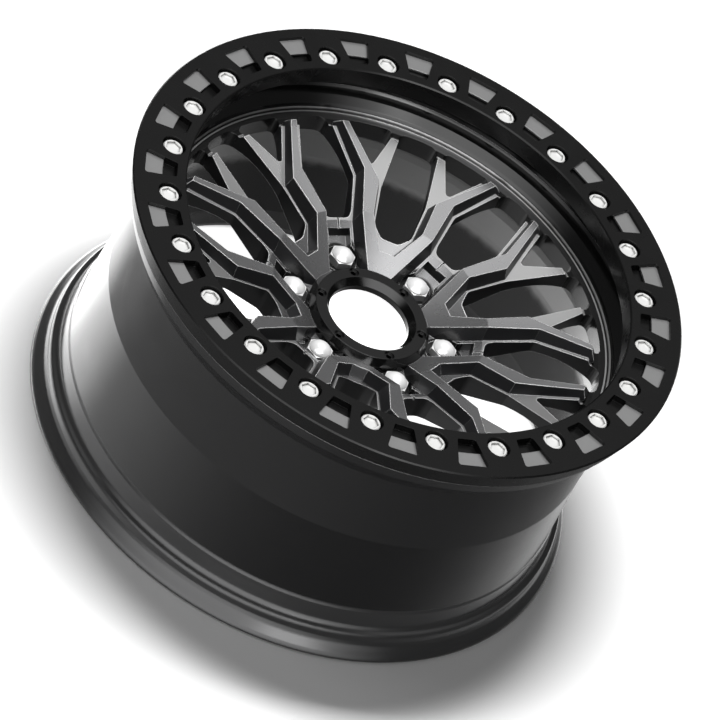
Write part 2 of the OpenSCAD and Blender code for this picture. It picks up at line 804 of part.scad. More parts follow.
module ring_bolt() {
    head_r = bolt_head_d / 2;
    bevel = 0.8;
    difference() {
        union() {
            translate([0, 0, -bolt_length])
                cylinder(r = thread_r, h = bolt_length + 1, $fn = round_fn / 4);
            cylinder(r = head_r, h = bolt_head_h - bevel, $fn = round_fn / 2);
            translate([0, 0, bolt_head_h - bevel])
                cylinder(r1 = head_r, r2 = head_r - bevel, h = bevel, $fn = round_fn / 2);
        }
        translate([0, 0, bolt_head_h - bolt_hex_depth])
            cylinder(r = bolt_hex_af / sqrt(3), h = bolt_hex_depth + 1, $fn = 6);
    }
}

module ring_bolts() {
    color([0.80, 0.80, 0.80])
        at_ring_bolts()
            translate([0, 0, up(bolt_sink + bolt_head_h)])
                rotate([0, 0, 30])
                    ring_bolt();
}

// Closed lug nut: dome, hexagon and the cone that it seats on
module lug_nut() {
    hex_h = pad_depth - nut_top_depth - seat_gap;
    dome_r = nut_dome_d / 2;
    sphere_r = (dome_r * dome_r + nut_dome_h * nut_dome_h) / (2 * nut_dome_h);
    cone_h = seat_fall - seat_gap * 2;
    cone_top = seat_r - seat_gap;
    cone_end = cone_top - cone_h * tan(seat_angle);
    difference() {
        union() {
            intersection() {
                cylinder(r = nut_af / sqrt(3), h = hex_h, $fn = 6);
                cylinder(
                    r1 = nut_af / 2 + 1.2 + hex_h * 1.7,
                    r2 = nut_af / 2 + 0.2,
                    h = hex_h,
                    $fn = round_fn / 2
                );
            }
            translate([0, 0, hex_h - 1])
                cylinder(r = dome_r - 0.5, h = 1.6, $fn = round_fn / 2);
            translate([0, 0, hex_h + 0.5])
                intersection() {
                    cylinder(r = dome_r, h = nut_dome_h + 1, $fn = round_fn / 2);
                    translate([0, 0, nut_dome_h - sphere_r])
                        sphere(r = sphere_r, $fn = round_fn / 2);
                }
            translate([0, 0, -cone_h])
                cylinder(r1 = cone_end, r2 = cone_top, h = cone_h, $fn = round_fn / 2);
        }
        translate([0, 0, -cone_h - 1])
            cylinder(d = nut_bore_d, h = cone_h + hex_h + 1, $fn = round_fn / 2);
    }
}

module lug_nuts() {
    color([0.86, 0.86, 0.86])
        at_lugs()
            translate([lug_pcd / 2, 0, up(pad_depth - seat_gap)])
                rotate([0, 0, 22])
                    lug_nut();
}

wheel();
beadlock_ring();
ring_bolts();
lug_nuts();
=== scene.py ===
"""Looks of the beadlock wheel: finishes, floor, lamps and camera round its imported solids.

Lengths are metres in the row's frame. The axle line is Z, and the outer face looks up.
"""

import logging
import math
from dataclasses import dataclass, field
from enum import Enum
from typing import Union

import bpy
import numpy as np
from mathutils import Matrix, Vector

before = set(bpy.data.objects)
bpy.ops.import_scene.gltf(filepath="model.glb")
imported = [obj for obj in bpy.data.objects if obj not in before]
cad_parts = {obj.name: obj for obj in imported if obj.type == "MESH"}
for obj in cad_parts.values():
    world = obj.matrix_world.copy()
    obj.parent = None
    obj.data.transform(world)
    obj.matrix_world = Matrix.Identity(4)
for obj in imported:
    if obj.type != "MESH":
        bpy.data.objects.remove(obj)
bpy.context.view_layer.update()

LOG = logging.getLogger("beadlock_wheel")
MM = 0.001
WHITE = (1.0, 1.0, 1.0)
BLACK = (0.0, 0.0, 0.0)
LEVEL = (1.0, 1.0, 0.0)
UPRIGHT = (0.0, 0.0, 1.0)

Socket = bpy.types.NodeSocket
Number = Union[float, Socket]
Colour = tuple[float, float, float]
Range = tuple[float, float]
Point = tuple[float, float, float]
Layer = tuple[Union[Colour, Socket], Union[Point, Socket]]


def direction(azimuth: float, elevation: float) -> Vector:
    """Gives the unit vector that points to an azimuth from +X and an elevation from level.

    Args:
        azimuth: Degrees about Z, from +X towards +Y.
        elevation: Degrees up from level.

    Returns:
        (cos a * cos e, sin a * cos e, sin e).
    """
    turn, rise = math.radians(azimuth), math.radians(elevation)
    level = math.cos(rise)
    return Vector((math.cos(turn) * level, math.sin(turn) * level, math.sin(rise)))


class Nodes:
    """A node tree with short methods that add a node, feed it and return its output."""

    def __init__(self, tree: bpy.types.NodeTree) -> None:
        """Keeps the material's, world's or group's tree that the nodes go into."""
        self.tree = tree

    def add(self, kind: str, **settings: object) -> bpy.types.Node:
        """Adds one node.

        Args:
            kind: The node's type name.
            settings: Properties of the node to set.

        Returns:
            The new node.
        """
        node = self.tree.nodes.new(kind)
        for name, value in settings.items():
            setattr(node, name, value)
        return node

    def feed(self, target: Socket, value: object) -> None:
        """Links a socket to the target, or sets the target's own value.

        Args:
            target: The input to feed.
            value: A socket, a number, a vector or a colour.
        """
        if isinstance(value, bpy.types.NodeSocket):
            self.tree.links.new(value, target)
        elif isinstance(value, tuple) and target.type == "RGBA":
            target.default_value = (*value, 1.0)
        else:
            target.default_value = value

    def math(self, operation: str, a: Number, b: Number = 0.0) -> Socket:
        """Adds a Math node.

        Args:
            operation: The node's name for the operation.
            a: First number.
            b: Second number.

        Returns:
            The result's socket.
        """
        node = self.add("ShaderNodeMath", operation=operation)
        self.feed(node.inputs[0], a)
        self.feed(node.inputs[1], b)
        return node.outputs[0]

    def inverse(self, value: Number) -> Socket:
        """Gives 1 minus a value, such as a mask."""
        return self.math("SUBTRACT", 1.0, value)

    def product(self, first: Number, *others: Number) -> Socket:
        """Multiplies values, such as masks that all have to hold.

        Args:
            first: First value.
            others: The values that it is multiplied by in turn.

        Returns:
            The result's socket.
        """
        for value in others:
            first = self.math("MULTIPLY", first, value)
        return first

    def vector(self, operation: str, a: object, b: object = None) -> Socket:
        """Adds a Vector Math node.

        Args:
            operation: The node's name for the operation.
            a: First vector.
            b: Second vector, or the number that SCALE takes.

        Returns:
            The vector result's socket, or the value's for DOT_PRODUCT and LENGTH.
        """
        node = self.add("ShaderNodeVectorMath", operation=operation)
        self.feed(node.inputs[0], a)
        if b is not None:
            self.feed(node.inputs["Scale"] if operation == "SCALE" else node.inputs[1], b)
        return node.outputs["Value" if operation in ("DOT_PRODUCT", "LENGTH") else "Vector"]

    def ramp(
        self, value: Number, start: float, end: float, low: float = 0.0, high: float = 1.0
    ) -> Socket:
        """Maps a value smoothly from start..end to low..high.

        Args:
            value: The value to map.
            start: Value that gives low.
            end: Value that gives high.
            low: Result at start.
            high: Result at end.

        Returns:
            The result's socket.
        """
        node = self.add("ShaderNodeMapRange", interpolation_type="SMOOTHSTEP")
        for socket, number in zip(node.inputs, (value, start, end, low, high)):
            self.feed(socket, number)
        return node.outputs[0]

    def mix(self, kind: str, factor: Number, a: object, b: object) -> Socket:
        """Mixes two values of one kind.

        Args:
            kind: FLOAT, VECTOR or RGBA.
            factor: 0 gives a, 1 gives b.
            a: First value.
            b: Second value.

        Returns:
            The mixed value's socket.
        """
        node = self.add("ShaderNodeMix", data_type=kind)
        own = "VALUE" if kind == "FLOAT" else kind
        values = [x for x in node.inputs if x.type == own and not x.name.startswith("Factor")]
        self.feed(node.inputs["Factor"], factor)
        self.feed(values[0], a)
        self.feed(values[1], b)
        return next(x for x in node.outputs if x.type == own)

    def noise(self, scale: float, detail: float) -> Socket:
        """Adds noise on the object's own coordinates.

        Args:
            scale: Noise cells per metre.
            detail: Number of finer layers.

        Returns:
            The noise value's socket, about 0.5 on average.
        """
        place = self.add("ShaderNodeTexCoord")
        node = self.add("ShaderNodeTexNoise")
        node.inputs["Scale"].default_value = scale
        node.inputs["Detail"].default_value = detail
        self.feed(node.inputs["Vector"], place.outputs["Object"])
        return node.outputs[0]

    def split(self, vector: Socket) -> tuple[Socket, Socket, Socket]:
        """Splits a vector.

        Args:
            vector: The vector's socket.

        Returns:
            The sockets of its three parts.
        """
        node = self.add("ShaderNodeSeparateXYZ")
        self.feed(node.inputs[0], vector)
        return tuple(node.outputs)

    def group(self, tree: bpy.types.NodeTree, **values: object) -> bpy.types.Node:
        """Places a node group and sets its inputs.

        Args:
            tree: The group.
            values: The inputs' values by name.

        Returns:
            The group's node.
        """
        node = self.add("ShaderNodeGroup", node_tree=tree)
        for name, value in values.items():
            self.feed(node.inputs[name], value)
        return node


def new_group(
    name: str, inputs: dict[str, float], outputs: dict[str, str]
) -> tuple[Nodes, bpy.types.Node, bpy.types.Node]:
    """Makes an empty shader node group.

    Args:
        name: The group's name.
        inputs: Each input's name and default number.
        outputs: Each output's name and socket type.

    Returns:
        The group's nodes, its input node and its output node.
    """
    tree = bpy.data.node_groups.new(name, "ShaderNodeTree")
    for label, number in inputs.items():
        socket = tree.interface.new_socket(label, in_out="INPUT", socket_type="NodeSocketFloat")
        socket.default_value = number
    for label, kind in outputs.items():
        tree.interface.new_socket(label, in_out="OUTPUT", socket_type=kind)
    nodes = Nodes(tree)
    return nodes, nodes.add("NodeGroupInput"), nodes.add("NodeGroupOutput")


def build_place_group() -> bpy.types.NodeTree:
    """Group that tells where a point lies on the wheel and how far its surface faces up.

    Radius = sqrt(x * x + y * y), Height = z, Angle = atan2(y, x), Facing = z of the normal.

    Returns:
        The node group.
    """
    labels = ("Radius", "Height", "Facing", "Angle")
    nodes, _, out = new_group("place_on_wheel", {}, {label: "NodeSocketFloat" for label in labels})
    place = nodes.add("ShaderNodeTexCoord")
    x, y, z = nodes.split(place.outputs["Object"])
    squares = nodes.math("ADD", nodes.product(x, x), nodes.product(y, y))
    nodes.feed(out.inputs["Radius"], nodes.math("SQRT", squares))
    nodes.feed(out.inputs["Height"], z)
    nodes.feed(out.inputs["Facing"], nodes.split(place.outputs["Normal"])[2])
    nodes.feed(out.inputs["Angle"], nodes.math("ARCTAN2", y, x))
    return nodes.tree


def build_grain_group(
    cloud_scale: float = 38.0,
    cloud_detail: float = 3.0,
    cloud_range: Range = (0.3, 0.7),
    grain_scale: float = 2600.0,
    grain_detail: float = 1.0,
) -> bpy.types.NodeTree:
    """Group for the fine orange peel and cloudy gloss of sprayed or tumbled metal.

    Cloud = slow noise spread to 0..1, Height = fine noise for a Bump node.

    Args:
        cloud_scale: Clouds per metre.
        cloud_detail: Number of finer layers in the clouds.
        cloud_range: Noise values between which Cloud goes from 0 to 1.
        grain_scale: Grains per metre.
        grain_detail: Number of finer layers in the grain.

    Returns:
        The node group.
    """
    labels = ("Cloud", "Height")
    nodes, _, out = new_group("fine_grain", {}, {label: "NodeSocketFloat" for label in labels})
    clouds = nodes.noise(cloud_scale, cloud_detail)
    nodes.feed(out.inputs["Cloud"], nodes.ramp(clouds, *cloud_range))
    nodes.feed(out.inputs["Height"], nodes.noise(grain_scale, grain_detail))
    return nodes.tree


def build_turned_group(least: float = 0.9985) -> bpy.types.NodeTree:
    """Group that gives turned surfaces an exact round normal in place of the mesh's own.

    A facet is turned when the level part of its normal points along or against the radius. There
    Normal = (s * h * x / r, s * h * y / r, z), with z from the mesh's own shading normal,
    h = sqrt(1 - z * z) and s = 1 or -1.

    Args:
        least: Smallest cosine between the facet's level normal and the radius on a turned facet.

    Returns:
        The node group.
    """
    nodes, _, out = new_group("turned_normal", {}, {"Normal": "NodeSocketVector"})
    place = nodes.add("ShaderNodeTexCoord")
    plain = nodes.add("ShaderNodeNewGeometry")
    radial = nodes.vector("NORMALIZE", nodes.vector("MULTIPLY", place.outputs["Object"], LEVEL))
    flat = nodes.vector("MULTIPLY", plain.outputs["True Normal"], LEVEL)
    along = nodes.vector("DOT_PRODUCT", radial, nodes.vector("NORMALIZE", flat))
    signed = nodes.vector("SCALE", radial, nodes.math("SIGN", along))
    width = nodes.vector("LENGTH", nodes.vector("MULTIPLY", plain.outputs["Normal"], LEVEL))
    upright = nodes.vector("MULTIPLY", plain.outputs["Normal"], UPRIGHT)
    turned = nodes.vector("ADD", nodes.vector("SCALE", signed, width), upright)
    exact = nodes.math("GREATER_THAN", nodes.math("ABSOLUTE", along), least)
    result = nodes.mix("VECTOR", exact, plain.outputs["Normal"], turned)
    nodes.feed(out.inputs["Normal"], nodes.vector("NORMALIZE", result))
    return nodes.tree


def build_edge_group(
    turned: bpy.types.NodeTree,
    rounding: Range = (0.001, 0.008),
    marking: Range = (0.025, 0.11),
    samples: int = 6,
) -> bpy.types.NodeTree:
    """Group that rounds sharp edges in the shading and marks where they are.

    Bend = 1 - dot(soft normal, true normal). Normal is the soft one on edges only, and Edge is
    the bend spread to 0..1.

    Args:
        turned: The group that gives turned surfaces their normal.
        rounding: Bends between which the soft normal comes in.
        marking: Bends between which Edge goes from 0 to 1.
        samples: Number of rays that look for an edge round each point.

    Returns:
        The node group.
    """
    kinds = {"Normal": "NodeSocketVector", "Edge": "NodeSocketFloat"}
    nodes, source, out = new_group("soft_edge", {"Radius": 0.6 * MM}, kinds)
    bevel = nodes.add("ShaderNodeBevel", samples=samples)
    nodes.feed(bevel.inputs["Radius"], source.outputs["Radius"])
    true_normal = nodes.add("ShaderNodeNewGeometry").outputs["True Normal"]
    bend = nodes.inverse(nodes.vector("DOT_PRODUCT", bevel.outputs[0], true_normal))
    soft = nodes.ramp(bend, *rounding)
    near = nodes.vector("SCALE", bevel.outputs[0], soft)
    away = nodes.vector("SCALE", nodes.group(turned).outputs["Normal"], nodes.inverse(soft))
    nodes.feed(out.inputs["Normal"], nodes.vector("NORMALIZE", nodes.vector("ADD", near, away)))
    nodes.feed(out.inputs["Edge"], nodes.ramp(bend, *marking))
    return nodes.tree


def build_open_group(samples: int = 4) -> bpy.types.NodeTree:
    """Group that tells open surface from hollows and inner corners.

    Open = share of short rays that leave the surface freely, 1 on flats and outer edges.

    Args:
        samples: Number of rays that leave each point.

    Returns:
        The node group.
    """
    nodes, source, out = new_group("open_surface", {"Reach": 2 * MM}, {"Open": "NodeSocketFloat"})
    around = nodes.add("ShaderNodeAmbientOcclusion", samples=samples, only_local=True)
    nodes.feed(around.inputs["Distance"], source.outputs["Reach"])
    nodes.feed(out.inputs["Open"], around.outputs["AO"])
    return nodes.tree


def new_material(name: str) -> tuple[bpy.types.Material, Nodes, bpy.types.Node]:
    """Makes a material with its shader.

    Args:
        name: The material's name.

    Returns:
        The material, its nodes and its shader node.
    """
    material = bpy.data.materials.new(name)
    material.use_nodes = True
    nodes = Nodes(material.node_tree)
    shader = next(n for n in material.node_tree.nodes if n.type == "BSDF_PRINCIPLED")
    return material, nodes, shader


@dataclass(frozen=True)
class Effects:
    """The shared effects that the finishes place in their materials.

    Attributes:
        place: Group that tells where a point lies on the wheel.
        grain: Group for grain and clouds.
        edge: Group that softens and marks sharp edges.
        open: Group that tells open surface from hollows.
    """

    place: bpy.types.NodeTree = field(default_factory=build_place_group)
    grain: bpy.types.NodeTree = field(default_factory=build_grain_group)
    edge: bpy.types.NodeTree = field(default_factory=lambda: build_edge_group(build_turned_group()))
    open: bpy.types.NodeTree = field(default_factory=build_open_group)


@dataclass(frozen=True)
class Coat:
    """Colour, metal share and roughness of one paint or bare surface.

    Attributes:
        colour: Linear colour.
        metallic: 0 for paint, 1 for bare metal.
        roughness: 0 for a mirror, 1 for matt.
    """

    colour: Colour
    metallic: float = 0.0
    roughness: float = 0.3

    def blended(self, nodes: Nodes, mask: Number, under: Layer) -> Layer:
        """Lays this coat over another one where the mask is 1.

        Args:
            nodes: The material's nodes.
            mask: Where this coat lies.
            under: Colour and (metallic, roughness, 0) of the coat below.

        Returns:
            The same two values with this coat laid on.
        """
        colour, gloss = under
        own_gloss = (self.metallic, self.roughness, 0.0)
        return (
            nodes.mix("RGBA", mask, colour, self.colour),
            nodes.mix("RGBA", mask, gloss, own_gloss),
        )


@dataclass(frozen=True)
class Finish:
    """One even finish with soft edges, fine grain and painted shade in its hollows.

    Attributes:
        name: The material's name.
        coat: The coat that lies all over, or on the main faces where there are zones.
        rough_spread: How far the roughness wanders up and down in clouds.
        edge_radius: Radius that sharp edges are rounded by in the shading.
        grain: Strength of the grain.
        grain_height: Height of the grain.
        shine: Strength of the reflections of the parts that aren't metal.
        hollow_shade: How far painted shade darkens the hollows, from 0 to 1.
        hollow_reach: Length of the rays that tell hollows from open surface.
        hollow_shade_range: Openness between which the painted shade fades out.
        outer_range: Openness between which an edge starts to count as an outer one.
    """

    name: str
    coat: Coat
    rough_spread: float = 0.04
    edge_radius: float = 0.6 * MM
    grain: float = 0.02
    grain_height: float = 0.2 * MM
    shine: float = 0.5
    hollow_shade: float = 0.0
    hollow_reach: float = 2.5 * MM
    hollow_shade_range: Range = (0.35, 0.95)
    outer_range: Range = (0.72, 0.92)

    def edge_size(self, nodes: Nodes, effects: Effects) -> Number:
        """Gives the radius that edges are softened by. A finish with zones overrides it."""
        return self.edge_radius

    def layers(self, nodes: Nodes, effects: Effects, edge: Socket) -> Layer:
        """Gives the coat's colour and gloss all over. A finish with zones overrides it."""
        return self.coat.colour, (self.coat.metallic, self.coat.roughness, 0.0)

    def material(self, effects: Effects) -> bpy.types.Material:
        """Makes the material.

        Args:
            effects: The shared node groups.

        Returns:
            The new material.
        """
        material, nodes, shader = new_material(self.name)
        grain = nodes.group(effects.grain)
        free = nodes.group(effects.open, Reach=self.hollow_reach).outputs["Open"]
        edge = nodes.group(effects.edge, Radius=self.edge_size(nodes, effects))
        # Outer edges, on which a finish with zones paints highlight lines
        highlight_edges = nodes.product(edge.outputs["Edge"], nodes.ramp(free, *self.outer_range))
        colour, gloss = self.layers(nodes, effects, highlight_edges)
        # Painted shade: hollows and inner corners are darkened towards black
        if self.hollow_shade:
            hollow_shade_mask = nodes.ramp(free, *self.hollow_shade_range, self.hollow_shade, 0.0)
            colour = nodes.mix("RGBA", hollow_shade_mask, colour, BLACK)
        # An even value stays a number, so that it is set on the shader's own socket
        metallic, roughness, _ = gloss if isinstance(gloss, tuple) else nodes.split(gloss)
        spread = nodes.ramp(grain.outputs["Cloud"], 0.0, 1.0, -self.rough_spread, self.rough_spread)
        nodes.feed(shader.inputs["Base Color"], colour)
        nodes.feed(shader.inputs["Metallic"], metallic)
        nodes.feed(shader.inputs["Roughness"], nodes.math("ADD", roughness, spread))
        shader.inputs["Specular IOR Level"].default_value = self.shine
        bump = nodes.add("ShaderNodeBump")
        bump.inputs["Strength"].default_value = self.grain
        bump.inputs["Distance"].default_value = self.grain_height
        nodes.feed(bump.inputs["Height"], grain.outputs["Height"])
        nodes.feed(bump.inputs["Normal"], edge.outputs["Normal"])
        nodes.feed(shader.inputs["Normal"], bump.outputs[0])
        return material


@dataclass(frozen=True)
class WheelFinish(Finish):
    """Gunmetal wheel: pale spoke faces, dark walls, black hub ring, black dish and satin barrel.

    Zones follow the distance from the axle line, the height and the way that the surface faces.
    Some zones are painted light: highlight lines on the edges, beads and ledges, shade round the
    nuts and a paler inside of the barrel.

    Attributes:
        wall: Coat of the walls between the spokes, which lies under all the others.
        groove: Coat of the groove between the spokes' ends and the beads.
        dish: Coat of the dish outside the beads.
        bead: Pale coat painted on the two beads as highlight lines.
        rim: Coat of the rim's bare face.
        inside: Coat of the wall inside the barrel, its metal finish made paler than the barrel
            outside as painted light.
        barrel: Coat of the barrel.
        flange: Coat of the rear flange.
        hub: Coat of the hub ring.
        edge: Near-white coat painted on the outer edges on the face as highlight lines.
        line: Pale coat painted on the outer edges on the barrel as highlight lines.
        ledge_highlight: Paler copy of the face coat on the spokes' lower ledges, a painted
            highlight.
        pocket_shade: Near-black coat round the nuts, painted shade in their pockets.
        face_facing: Upward parts of the normal between which the main coat comes in.
        ledge_facing: The same for the lower ledges.
        ledge_drop: Depth under the raised faces at which the ledges begin.
        hub_radius: Outer radius of the hub ring.
        crease_radius: Radius of the crease in the raised faces.
        crease_height: Height of that crease.
        face_rise: Rise of the raised faces for each metre outside the crease.
        nut_circle: Radius of the circle through the nuts.
        nut_angle: Angle of one nut about the axle line, in degrees.
        nut_count: Number of nuts.
        pocket_radius: Radius of the painted shade round a nut.
        spoke_radius: Radius at which the spokes' ends meet the groove.
        bead_radii: Radii of the two beads.
        bead_half_width: Half the width of a bead.
        bead_blur: Softness of the beads' borders.
        dish_radius: Radius at which the dish begins.
        rim_radius: Inner radius of the zones outside the rim's wall.
        inner_radius: Outer radius of the zones inside the barrel.
        rim_height: Height over which the rim's face is bare.
        back_height: Height under which the surface belongs to the barrel's inside or outside.
        back_blur: Softness of that border.
        wall_radius: Radius outside which the inside of the barrel shows higher up too.
        wall_height: Height up to which it does.
        flange_height: Height of the rear flange's upper border.
        flange_edge: Radius that the flange's edges are rounded by.
        flange_blend: Height over which that radius falls back to edge_radius.
        border_blur: Softness of the other borders.
        groove_blur: Softness of the border between the spokes and the groove.
        soft_blur: Softness of the borders of the pockets and the flange.
    """

    wall: Coat = Coat((0.016, 0.016, 0.017), 0.0, 0.30)
    groove: Coat = Coat((0.010, 0.010, 0.010), 0.0, 0.25)
    dish: Coat = Coat((0.006, 0.006, 0.006), 0.0, 0.14)
    # Painted highlight lines on the two beads
    bead: Coat = Coat((0.50, 0.50, 0.50), 0.5, 0.25)
    rim: Coat = Coat((0.34, 0.34, 0.34), 0.7, 0.35)
    # Partly painted light: the inside is paler than the barrel outside
    inside: Coat = Coat((0.30, 0.30, 0.30), 0.6, 0.26)
    barrel: Coat = Coat((0.007, 0.007, 0.0075), 0.0, 0.15)
    flange: Coat = Coat((0.065, 0.065, 0.066), 0.3, 0.2)
    hub: Coat = Coat((0.004, 0.004, 0.004), 0.0, 0.12)
    # Painted highlight lines on the face's outer edges
    edge: Coat = Coat((1.0, 1.0, 1.0), 0.15, 0.25)
    # Painted highlight lines on the barrel's outer edges
    line: Coat = Coat((0.30, 0.30, 0.30), 0.4, 0.28)
    # Painted highlight: paler copy of the face coat for the ledges
    ledge_highlight: Coat = Coat((0.46, 0.46, 0.46), 0.8, 0.28)
    # Painted shade round the nuts
    pocket_shade: Coat = Coat((0.010, 0.010, 0.010), 0.0, 0.2)
    face_facing: Range = (0.55, 0.80)
    ledge_facing: Range = (0.80, 0.90)
    ledge_drop: float = 4.0 * MM
    hub_radius: float = 55.45 * MM
    crease_radius: float = 98.4 * MM
    crease_height: float = 184.0 * MM
    face_rise: float = 0.2054
    nut_circle: float = 69.85 * MM
    nut_angle: float = 45.0
    nut_count: int = 6
    pocket_radius: float = 17.5 * MM
    spoke_radius: float = 191.5 * MM
    bead_radii: tuple[float, float] = (203.4 * MM, 206.2 * MM)
    bead_half_width: float = 0.65 * MM
    bead_blur: float = 0.35 * MM
    dish_radius: float = 207.6 * MM
    rim_radius: float = 221.2 * MM
    inner_radius: float = 217.6 * MM
    rim_height: float = 245.0 * MM
    back_height: float = 138.0 * MM
    back_blur: float = 8.0 * MM
    wall_radius: float = 209.0 * MM
    wall_height: float = 196.0 * MM
    flange_height: float = 46.0 * MM
    flange_edge: float = 3.0 * MM
    flange_blend: float = 6.0 * MM
    border_blur: float = 0.4 * MM
    groove_blur: float = 0.8 * MM
    soft_blur: float = 1.0 * MM

    def edge_size(self, nodes: Nodes, effects: Effects) -> Socket:
        """Gives a larger edge radius on the rolled rear flange.

        Args:
            nodes: The material's nodes.
            effects: The shared node groups.

        Returns:
            The radius as a socket.
        """
        height = nodes.group(effects.place).outputs["Height"]
        start, end = self.flange_height, self.flange_height + self.flange_blend
        return nodes.ramp(height, start, end, self.flange_edge, self.edge_radius)

    def nut_distance(self, nodes: Nodes, radius: Socket, angle: Socket) -> Socket:
        """Gives the distance to the axis of the nearest nut.

        With a the angle past the nearest nut, it is the length of (r cos a - circle, r sin a).

        Args:
            nodes: The material's nodes.
            radius: Distance from the axle line.
            angle: Angle about the axle line.

        Returns:
            The distance's socket.
        """
        turned = nodes.math("SUBTRACT", angle, math.radians(self.nut_angle))
        past = nodes.math("PINGPONG", turned, math.pi / self.nut_count)
        across = nodes.product(radius, nodes.math("SINE", past))
        along = nodes.product(radius, nodes.math("COSINE", past))
        along = nodes.math("SUBTRACT", along, self.nut_circle)
        squares = [nodes.math("POWER", part, 2.0) for part in (across, along)]
        return nodes.math("SQRT", nodes.math("ADD", *squares))

    def layers(self, nodes: Nodes, effects: Effects, edge: Socket) -> Layer:
        """Lays the zones' coats one over the other.

        Args:
            nodes: The material's nodes.
            effects: The shared node groups.
            edge: Where the outer edges are, which get painted highlight lines.

        Returns:
            Colour, and (metallic, roughness, 0), as sockets.
        """
        place = nodes.group(effects.place)
        labels = ("Radius", "Height", "Facing", "Angle")
        radius, height, facing, angle = (place.outputs[label] for label in labels)

        def beyond(value: Socket, limit: float, blur: float = self.border_blur) -> Socket:
            """Gives a mask of where a value is above a limit, with a border of twice the blur."""
            return nodes.ramp(value, limit - blur, limit + blur)

        def below(value: Socket, limit: float, blur: float = self.border_blur) -> Socket:
            """Gives a mask of where a value is under a limit, with a border of twice the blur."""
            return nodes.ramp(value, limit - blur, limit + blur, 1.0, 0.0)

        def beads() -> Socket:
            """Gives a mask of the two fine beads round the spokes, where highlight lines are
            painted.

            Returns:
                The mask's socket.
            """
            mask: Number = 0.0
            for middle in self.bead_radii:
                away = nodes.math("ABSOLUTE", nodes.math("SUBTRACT", radius, middle))
                bead = below(away, self.bead_half_width, self.bead_blur)
                mask = nodes.math("MAXIMUM", mask, bead)
            return mask

        # Parts of the wheel
        low = below(height, self.back_height, self.back_blur)
        outer = beyond(radius, self.rim_radius)
        inner = below(radius, self.inner_radius)
        shell = nodes.math("MAXIMUM", low, outer)
        rolled = below(height, self.flange_height, self.soft_blur)
        wall = nodes.product(beyond(radius, self.wall_radius), below(height, self.wall_height))

        # Depth under the raised faces, which rise evenly outside the crease
        past = nodes.math("SUBTRACT", radius, self.crease_radius)
        rise = nodes.product(nodes.math("MAXIMUM", past, 0.0), self.face_rise)
        depth = nodes.math("SUBTRACT", nodes.math("ADD", rise, self.crease_height), height)
        level = nodes.ramp(facing, *self.ledge_facing)
        nut = self.nut_distance(nodes, radius, angle)

        zones = (
            (self.coat, nodes.ramp(facing, *self.face_facing)),
            # Painted highlight: the lower ledges get a paler copy of the face coat
            (self.ledge_highlight, nodes.product(beyond(depth, self.ledge_drop), beyond(past, 0.0), level)),
            # Painted shade: a near-black disc round each nut
            (self.pocket_shade, below(nut, self.pocket_radius, self.soft_blur)),
            # Painted highlight: the outer edges on the face are laid near-white
            (self.edge, nodes.product(edge, nodes.inverse(shell))),
            (self.groove, beyond(radius, self.spoke_radius, self.groove_blur)),
            (self.dish, beyond(radius, self.dish_radius)),
            # Painted highlight: pale bands on the two beads
            (self.bead, beads()),
            # Painted light: the barrel's inside is paler than its outside
            (self.inside, nodes.product(nodes.math("MAXIMUM", low, wall), inner)),
            (self.barrel, nodes.product(shell, nodes.inverse(inner))),
            (self.flange, nodes.product(outer, rolled)),
            # Painted highlight: pale lines on the barrel's outer edges above the flange
            (
                self.line,
                nodes.product(edge, shell, nodes.inverse(nodes.math("MAXIMUM", inner, rolled))),
            ),
            (self.rim, nodes.product(outer, beyond(height, self.rim_height))),
            (self.hub, below(radius, self.hub_radius)),
        )
        mixed = (self.wall.colour, (self.wall.metallic, self.wall.roughness, 0.0))
        for coat, mask in zones:
            mixed = coat.blended(nodes, mask, mixed)
        return mixed


class Paint(Enum):
    """The object's finishes, by the CAD node that wears each."""

    WHEEL = ("wheel", WheelFinish(
        name="gunmetal_wheel",
        coat=Coat((0.38, 0.38, 0.385), 0.88, 0.27),
        edge_radius=1.1 * MM,
        rough_spread=0.01,
    ))
    RING = ("beadlock_ring", Finish(
        name="satin_black_ring",
        coat=Coat((0.004, 0.004, 0.004), 0.0, 0.26),
        edge_radius=0.5 * MM,
        shine=0.25,
    ))
    BOLT = ("ring_bolts", Finish(
        name="bright_bolt",
        coat=Coat((0.82, 0.82, 0.81), 0.4, 0.2),
        edge_radius=0.4 * MM,
        # Painted shade in the bolts' hollows
        hollow_shade=0.75,
    ))
    NUT = ("lug_nuts", Finish(
        name="polished_nut",
        coat=Coat((0.92, 0.92, 0.92), 0.3, 0.22),
        edge_radius=0.4 * MM,
        # Painted shade in the nuts' hollows
        hollow_shade=0.6,
    ))

    @property
    def node(self) -> str:
        """Name of the CAD node that wears the finish."""
        return self.value[0]

    @property
    def finish(self) -> Finish:
        """The finish itself."""
        return self.value[1]


@dataclass
class PaintedFrame:
    """The four CAD nodes, each in its finish."""

    effects: Effects

    def build(self) -> None:
        """Puts each finish on its CAD node's material slots."""
        for paint in Paint:
            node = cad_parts[paint.node]
            material = paint.finish.material(self.effects)
            slots = node.data.materials
            for index in range(len(slots)):
                slots[index] = material
            if not slots:
                slots.append(material)
            LOG.info("%s wears %s", paint.node, material.name)


